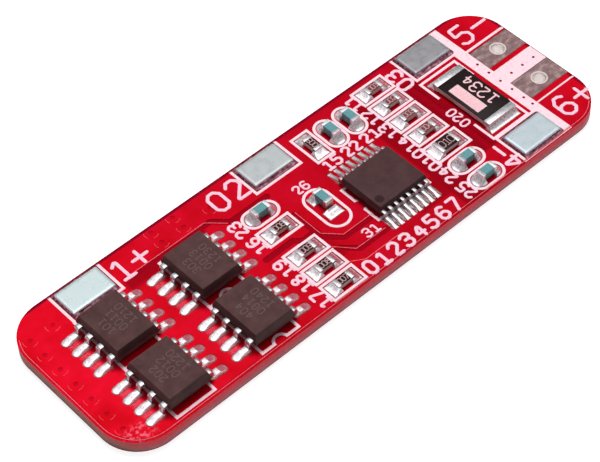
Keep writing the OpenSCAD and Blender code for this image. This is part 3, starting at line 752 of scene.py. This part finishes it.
def lead_tree():
    """Geometry Nodes that sweep a strip along a bent path and set it out in two rows."""
    tree, given = new_tree("lead_rows", Path="Geometry", Width="Float", Thickness="Float",
                           Bend_Radius="Float", Edge_Radius="Float", Pitch="Float",
                           Count="Int", Metal="Material")
    new = partial(output_of, tree)
    bent = new("GeometryNodeFilletCurve", Curve=given["Path"], Radius=given["Bend Radius"],
               Count=6, settings={"mode": "POLY"})
    section = new("GeometryNodeCurvePrimitiveQuadrilateral", Width=given["Width"],
                  Height=given["Thickness"])
    rounded = new("GeometryNodeFilletCurve", Curve=section, Radius=given["Edge Radius"],
                  Count=2, settings={"mode": "POLY"})
    strip = new("GeometryNodeCurveToMesh", Curve=bent, Profile_Curve=rounded, Fill_Caps=True)
    # the row is centred: it starts at minus half of its length
    length = maths(tree, "MULTIPLY", maths(tree, "SUBTRACT", given["Count"], 1), given["Pitch"])
    start = new("ShaderNodeCombineXYZ", Y=maths(tree, "MULTIPLY", length, -0.5))
    step = new("ShaderNodeCombineXYZ", Y=given["Pitch"])
    row = new("GeometryNodeMeshLine", Count=given["Count"], Start_Location=start, Offset=step)
    side = new("GeometryNodeInstanceOnPoints", Points=row, Instance=strip)
    other_side = new("GeometryNodeTransform", Geometry=side, Rotation=(0, 0, math.pi))
    return end_tree(tree, (side, other_side), given["Metal"])


def lead_path(start, shoulder, leads):
    """Corners of a gull-wing lead's middle line, along +X."""
    toe = leads.span / 2
    foot_height = seat + leads.thickness / 2
    bend = 0.9 * leads.thickness
    heel = toe - leads.foot - bend * math.tan(math.radians(90 - leg_lean) / 2)
    knee = heel - math.tan(math.radians(leg_lean)) * (shoulder - foot_height)
    heel_height = foot_height + (toe - heel) * math.tan(math.radians(foot_slope))
    return [(start, 0, shoulder), (knee, 0, shoulder), (heel, 0, heel_height),
            (toe, 0, foot_height)]


tin = tin_plate()
rows = lead_tree()


def lead_rows(body, width, leads):
    """Both rows of leads of a package this wide, round its own middle."""
    path = lead_path(width / 2 - embedded, middle(body).z, leads)
    mesh = grown(path_object(path), rows, width=leads.width * 1.15, thickness=leads.thickness,
                 bend_radius=0.8 * leads.thickness, edge_radius=0.12 * leads.thickness,
                 pitch=leads.pitch, count=leads.count, metal=tin)
    smooth(mesh)
    return mesh


low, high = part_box("transistor_1_body")
fet_rows = lead_rows("transistor_1_body", high.x - low.x, fet_leads)
for k, place in enumerate(fet_places, 1):
    mesh = fet_rows.copy()
    mesh.transform(put(*place))
    new_piece(f"transistor_{k}_formed_leads", mesh, tin, "lead_metal", f"transistor_{k}_leads")
low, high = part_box("controller_body")
ctl_rows = lead_rows("controller_body", high.y - low.y, ctl_leads)
ctl_rows.transform(put(*ctl_place))
new_piece("controller_formed_leads", ctl_rows, tin, "lead_metal", "controller_leads")

# ---------------------------------------------------------------- moulded bodies
# Black epoxy with silica in it, pressed round the chip in a mould, so it is matt, has
# fine grain, eased edges and a round mark beside pin 1.


def moulding_compound():
    made = Finish("moulding_compound", specular_ior_level=0.15)
    grain = made.noise(0.05 * MM, detail=5)
    cloud = made.noise(0.9 * MM)
    colour = made.ramp(cloud, (0.3, linear(74, 49, 49)), (0.7, linear(88, 62, 61)))
    # the controller is a little darker, and so is its round mark
    low, high = (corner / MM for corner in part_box("controller_body"))
    colour = made.mix(made.patch(low, high, 0.02, 0.2), colour, linear(44, 28, 40))
    plan = made.vectors("MULTIPLY", made.place, (1, 1, 0))
    mark = ((controller.x - 1.87) * MM, (controller.y - 1.417) * MM, 0)
    away = made.vectors("DISTANCE", plan, mark, output="Value")
    colour = made.mix(made.spread(away, 0.8, 0, 0.32 * MM, 0.44 * MM), colour, linear(44, 22, 24))
    return made.done(colour, made.spread(grain, 0.42, 0.58), [(grain, 0.008 * MM)])


def eased(node, name, width, material, slot, sunk=0):
    """Copy of a CAD node with its sharp edges rounded, which stands for the node. Its top
    may be sunk a little, to make room for marks on it."""
    made = bmesh.new()
    made.from_mesh(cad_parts[node].data)
    bmesh.ops.remove_doubles(made, verts=made.verts, dist=0.0005 * MM)
    bmesh.ops.dissolve_limit(made, angle_limit=math.radians(1), verts=made.verts, edges=made.edges)
    sharp = [e for e in made.edges if len(e.link_faces) == 2
             and e.calc_face_angle(0) > math.radians(30)]
    bmesh.ops.bevel(made, geom=sharp, offset=width, segments=2, profile=0.5, affect="EDGES",
                    clamp_overlap=True)
    top = max(v.co.z for v in made.verts)
    for v in made.verts:
        if v.co.z > top - 0.001 * MM:
            v.co.z -= sunk
    mesh = bpy.data.meshes.new(name)
    made.to_mesh(mesh)
    made.free()
    smooth(mesh, 30)
    new_piece(name, mesh, material, slot, node)


moulding = moulding_compound()
for k in (1, 2, 3, 4):
    eased(f"transistor_{k}_body", f"transistor_{k}_moulding", 0.05 * MM, moulding, "moulding",
          sunk=0.005 * MM)
eased("controller_body", "controller_moulding", 0.035 * MM, moulding, "moulding")


def laser_mark():
    made = Finish("laser_mark")
    return made.toned(made.noise(0.06 * MM, detail=5), linear(72, 50, 50), linear(108, 86, 86),
                      (0.5, 0.7), 0.004 * MM, stops=(0.35, 0.65))


# the laser burns faint plain numbers into the tops
mark_rows = [("{0}0{0}", -0.9), ("001{0}", 0), ("12{0}0", 0.9)]
marks = []
for k, (x, y, turn) in enumerate(fet_places, 1):
    for row, across in mark_rows:
        marks += figures(row.format(k), x / MM + across, y / MM, 0.62, 90)
beads("transistor_marks", marks, 0.08 * MM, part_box("transistor_1_body")[1].z, laser_mark(),
      "moulding", thickness=0.008 * MM, bend=0.03 * MM)

# ---------------------------------------------------------------- chip resistors
# White ceramic plate with a thick-film resistor under a dark glass coat, and metal
# folded round both ends.


def fired_ceramic(name, dark, light):
    made = Finish(name)
    return made.toned(made.noise(0.06 * MM, detail=5), dark, light, (0.45, 0.65), 0.004 * MM)


def glass_coat():
    made = Finish("glass_coat", specular_ior_level=0.2)
    grain = made.noise(0.15 * MM, detail=4)
    black = made.ramp(grain, (0.3, linear(14, 6, 6)), (0.7, linear(34, 20, 20)))
    # the small chips at the right-hand end have a browner coat
    browner = made.patch((10.5, -1.5), (13.5, 8), 0.2)
    colour = made.mix(browner, black, linear(112, 62, 66))
    return made.done(colour, made.spread(grain, 0.3, 0.45), [(grain, 0.005 * MM)])


def end_metal():
    made = Finish("end_metal", metallic=0.9)
    return made.toned(made.noise(0.12 * MM, detail=4), linear(200, 200, 203),
                      linear(240, 240, 240), (0.25, 0.4), 0.01 * MM)


def pale_ink(name, dark, light):
    made = Finish(name)
    return made.toned(made.noise(0.1 * MM, detail=4), dark, light, (0.7, 0.5), 0.003 * MM,
                      stops=(0.3, 0.6))


def chip_place(name):
    """Place of a chip as (x, y, degrees), and its length, width and height."""
    low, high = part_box(f"{name}_ends")
    size = high - low
    turn = 90 if size.y > size.x else 0
    return (*middle(f"{name}_ends").xy, turn), (max(size.xy), min(size.xy), size.z)


alumina = fired_ceramic("alumina", linear(196, 172, 172), linear(226, 206, 204))
coat = glass_coat()
ends = end_metal()
chip_figures = []
for k in range(1, 11):
    eased(f"resistor_{k}_body", f"resistor_{k}_ceramic", 0.015 * MM, alumina, "ceramic")
    eased(f"resistor_{k}_ends", f"resistor_{k}_caps", 0.015 * MM, ends, "end_metal")
    (x, y, turn), size = chip_place(f"resistor_{k}")
    chip_figures += figures(f"{k:03d}", x / MM, y / MM, 0.5 if k < 10 else 0.7, turn, 0.68)
eased("resistor_coats", "resistor_glass", 0.01 * MM, coat, "coat")
faint_ink = pale_ink("faint_ink", linear(176, 132, 132), linear(206, 164, 164))
beads("resistor_figures", chip_figures, 0.075 * MM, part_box("resistor_coats")[1].z + 0.008 * MM,
      faint_ink, "legend_ink", thickness=0.02 * MM, bend=0.03 * MM)

# ---------------------------------------------------------------- sense resistor
# A larger part of the same build, whose wide ends carry the pack's whole current. Its
# value is a plain number here, beside a printed bar.

eased("shunt_body", "shunt_ceramic", 0.03 * MM, alumina, "ceramic")
eased("shunt_ends", "shunt_caps", 0.03 * MM, ends, "end_metal")
eased("shunt_coat", "shunt_glass", 0.02 * MM, coat, "coat")

bright_ink = pale_ink("bright_ink", linear(232, 180, 188), linear(255, 208, 214))
shunt = middle("shunt_body") / MM
shunt_print_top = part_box("shunt_coat")[1].z + 0.008 * MM
bar_x = [shunt.x - 1.18 + 0.13 * k for k in range(8)]
beads("shunt_bar", [[(x, shunt.y - 1.6), (x, shunt.y + 1.6)] for x in bar_x], 0.18 * MM,
      shunt_print_top, bright_ink, "legend_ink", thickness=0.02 * MM)
beads("shunt_figures", figures("1234", shunt.x + 0.65, shunt.y, 1.1, 90, 0.84), 0.17 * MM,
      shunt_print_top, bright_ink, "legend_ink", thickness=0.02 * MM)

# ---------------------------------------------------------------- chip capacitors
# A block of many thin layers of grey-green ceramic, fired as one and dipped in metal at
# both ends.

titanate = fired_ceramic("titanate", linear(80, 134, 140), linear(112, 168, 172))
for k in range(1, 7):
    eased(f"capacitor_{k}_body", f"capacitor_{k}_ceramic", 0.02 * MM, titanate,
          "capacitor_ceramic")
    eased(f"capacitor_{k}_ends", f"capacitor_{k}_caps", 0.015 * MM, ends, "end_metal")

# ---------------------------------------------------------------- chip solder
# The same paste under the chips. It climbs their metal ends and runs out on the lands,
# which are round at the capacitors and square elsewhere.

inner_reach, outer_reach = 0.3 * MM, 0.62 * MM      # of a land, under the chip and past it


def chip_pool(size, land_width, outer=outer_reach, end_radius=square, cap=0.3 * MM, climb=0.55,
              reach=0.75 * outer_reach, off=(0, 0)):
    """Solder on one land of a chip along X. The land may lie a little off its place."""
    length, width, height = size
    end = length / 2
    outline = [p + Vector(off) for p in land_outline(end - inner_reach, end + outer, land_width,
                                                     square, end_radius)]
    pole = (max(end, end - inner_reach + off[0] + 0.1 * MM), 0)
    return solder_pool(outline, pole, ((end - cap, -width / 2), (end, width / 2)),
                       climb=climb * height, reach=reach, crown=0.06 * MM)


def both_ends(places):
    return [(x, y, turn + side) for x, y, turn in places for side in (0, 180)]


# chips of one size share their pool
groups = {}
for kind, count in (("resistor", 10), ("capacitor", 5)):
    for k in range(1, count + 1):
        place, size = chip_place(f"{kind}_{k}")
        groups.setdefault((kind, *[round(v, 6) for v in size]), []).append(place)
pools = []
for (kind, *size), places in groups.items():
    if kind == "capacitor":
        pool = chip_pool(size, 1.4 * MM, end_radius=0.66 * MM)
    else:
        pool = chip_pool(size, (1.3 if size[0] < 1.8 * MM else 1.5) * MM)
    pools.append((pool, both_ends(places)))
# the filter capacitor's lands are those of a longer chip, and lie a little off its middle
(x, y, turn), size = chip_place("capacitor_6")
for side, sign in ((0, 1), (180, -1)):
    pool = chip_pool(size, 1.5 * MM, climb=0.5, reach=0.4 * MM,
                     off=(-0.4 * sign * MM, 0.1 * sign * MM))
    pools.append((pool, [(x, y, turn + side)]))
# the sense resistor's wide ends
place, size = chip_place("shunt")
pool = chip_pool(size, 3.3 * MM, outer=0.5 * MM, cap=0.6 * MM, climb=0.5, reach=0.35 * MM)
pools.append((pool, both_ends([place])))
new_piece("chip_solder", set_out("chip_solder", *pools), solder, "solder", "chip_lands")

# ---------------------------------------------------------------- cell tabs
# Nickel plate punched from strip and soldered flat on wide lands, for the strips that
# are welded on from the cells.


def nickel_plate():
    made = Finish("nickel_plate", metallic=0.5)
    grain = made.noise(0.04 * MM, detail=1)
    cloud = made.noise(0.8 * MM, detail=2)
    # painted reflection: the plates are painted from bright to dull along the board and lighter
    #     # and bluer on the lower one, standing for the sky they mirror, which changes across the
    #     view
    share = made.spread(made.along("X"), 0, 1, -plate_half.x, plate_half.x)
    reflection_along = made.ramp(share, (0.2, linear(206, 222, 223)), (0.35, linear(186, 192, 193)),
                         (0.7, linear(196, 202, 202)), (0.8, linear(154, 152, 156)))
    lower = made.spread(made.along("Y"), 1, 0, -1 * MM, 1 * MM)
    strip = made.mix(lower, reflection_along, linear(200, 214, 220))
    colour = made.mix(made.spread(cloud, 0, 0.15), strip, linear(236, 238, 236))
    return made.done(colour, made.spread(cloud, 0.24, 0.36),
                     [(grain, 0.0004 * MM), (cloud, 0.003 * MM)])


def flat_solder():
    made = Finish("flat_solder", metallic=0.5)
    skin = made.noise(0.18 * MM, stretch=(2, 1, 1), detail=5)
    # the solder is painted dark purple-brown with lighter streaks: painted shade beside the plates
    # and a painted reflection of the red lacquer
    colour = made.ramp(skin, (0.34, linear(84, 34, 46)), (0.52, linear(134, 78, 94)),
                       (0.7, linear(214, 168, 180)))
    return made.done(colour, made.spread(skin, 0.25, 0.45), [(skin, 0.012 * MM)])


nickel = nickel_plate()
low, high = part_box("cell_tab_1")
half = (high - low) / 2
tab_places = [(*middle(f"cell_tab_{k}").xy, 0) for k in (1, 2, 3, 4)]
outline = land_outline(-2.15 * MM, 2.15 * MM, 3 * MM, 0.2 * MM, 0.2 * MM)
pool = solder_pool(outline, (0, 0), (-half.xy, half.xy), climb=half.z, reach=0.22 * MM,
                   crown=0.03 * MM)
new_piece("tab_solder", set_out("tab_solder", (pool, tab_places)), flat_solder(), "solder",
          "weld_lands")
# the punch has drawn the plate's upper edge down into a broad, shallow curve
outline = land_outline(-half.x, half.x, 2 * half.y, 0.15 * MM, 0.15 * MM)
edge_curve = ((0.02, 0), (0, 0.02), (0, 0.215), (0.02, 0.245), (0.09, 0.278), (0.15, 0.295),
              (0.2, 0.3), (0.3, 0.3))       # inset and height above the seat, in millimetres
plate = stacked([[(p.x * (1 - inset * MM / half.x), p.y * (1 - inset * MM / half.y),
                   seat + height * MM) for p in outline] for inset, height in edge_curve])
for k, place in enumerate(tab_places, 1):
    name = f"cell_tab_{k}_plate"
    new_piece(name, set_out(name, (plate, [place])), nickel, "nickel", f"cell_tab_{k}")

# ---------------------------------------------------------------- studio
# Pale floor, a soft lamp high behind the board and a graded sky that metal mirrors. The
# board lies on the floor and is seen from above its long lower edge.


def seen_by(tree, light, sight):
    """Strength that is one number for light and another for what is seen, straight or in
    metal or through glass."""
    ray = add_node(tree, "ShaderNodeLightPath").outputs
    seen = 0
    for kind in ("Is Camera Ray", "Is Glossy Ray", "Is Transmission Ray"):
        seen = maths(tree, "MAXIMUM", ray[kind], seen)
    return output_of(tree, "ShaderNodeMapRange", seen, To_Min=light, To_Max=sight)


def floor(size=2, drop=0.01 * MM):
    """Square floor this far each way, a hair under the board."""
    mesh = bpy.data.meshes.new("floor")
    corners = [(x * size, y * size, -drop) for x, y in ((-1, -1), (1, -1), (1, 1), (-1, 1))]
    mesh.from_pydata(corners, [], [(0, 1, 2, 3)])
    made = bpy.data.objects.new("floor", mesh)
    bpy.context.scene.collection.objects.link(made)
    finish = Finish("floor", roughness=0.9, emission_color=(1, 1, 1, 1))
    feed(finish.shader.inputs["Emission Strength"], seen_by(finish.tree, 0, 0.8))
    mesh.materials.append(finish.done(seen_by(finish.tree, 0.85, 0.55)))


def soft_light(name, place, size, power):
    """Lamp that looks at the board. Metal doesn't see it, as the sky has its glow in it."""
    lamp = bpy.data.lights.new(name, "AREA")
    lamp.shape = "RECTANGLE"
    lamp.size, lamp.size_y = size
    lamp.energy = power
    made = bpy.data.objects.new(name, lamp)
    made.location = place
    made.rotation_euler = (-Vector(place)).to_track_quat("-Z", "Y").to_euler()
    made.visible_glossy = False
    bpy.context.scene.collection.objects.link(made)


def view_camera(azimuth, elevation, roll, aim, distance, lens):
    """Camera that looks at a point from an azimuth and elevation, in degrees."""
    a, e, r = (math.radians(x) for x in (azimuth, elevation, roll))
    back = Vector((math.sin(a) * math.cos(e), -math.cos(a) * math.cos(e), math.sin(e)))
    level = Vector((math.cos(a), math.sin(a), 0))
    upright = back.cross(level)
    right = level * math.cos(r) + upright * math.sin(r)
    up = upright * math.cos(r) - level * math.sin(r)
    data = bpy.data.cameras.new("view")
    data.lens = lens
    data.clip_start, data.clip_end = 0.005, 10
    made = bpy.data.objects.new("view", data)
    made.matrix_world = Matrix.Translation(Vector(aim) + back * distance) @ Matrix(
        (right, up, back)).transposed().to_4x4()
    bpy.context.scene.collection.objects.link(made)
    bpy.context.scene.camera = made


def studio_sky():
    """World that is dark at the horizon and bright overhead."""
    world = bpy.data.worlds.new("studio")
    world.use_nodes = True
    sky = world.node_tree
    way = add_node(sky, "ShaderNodeTexCoord").outputs["Generated"]
    upward = add_node(sky, "ShaderNodeSeparateXYZ", way).outputs["Z"]
    greys = ((0, 0.1), (0.67, 0.16), (0.79, 0.41), (0.87, 1))
    shade = colour_ramp(sky, upward, [(share, (grey, grey, grey * 1.02, 1))
                                      for share, grey in greys])
    background = sky.nodes["Background"]
    feed(background.inputs["Color"], shade)
    feed(background.inputs["Strength"], seen_by(sky, 0.55, 2.2))
    bpy.context.scene.world = world


floor()
soft_light("key", (0.15, 0.19, 0.52), (0.18, 0.2), 2.9)
view_camera(azimuth=-40.6, elevation=50.03, roll=-2.634, aim=(-1.669 * MM, 0.121 * MM, 0),
            distance=154.4 * MM, lens=119.5)
studio_sky()
bpy.context.scene.view_settings.view_transform = "Standard"
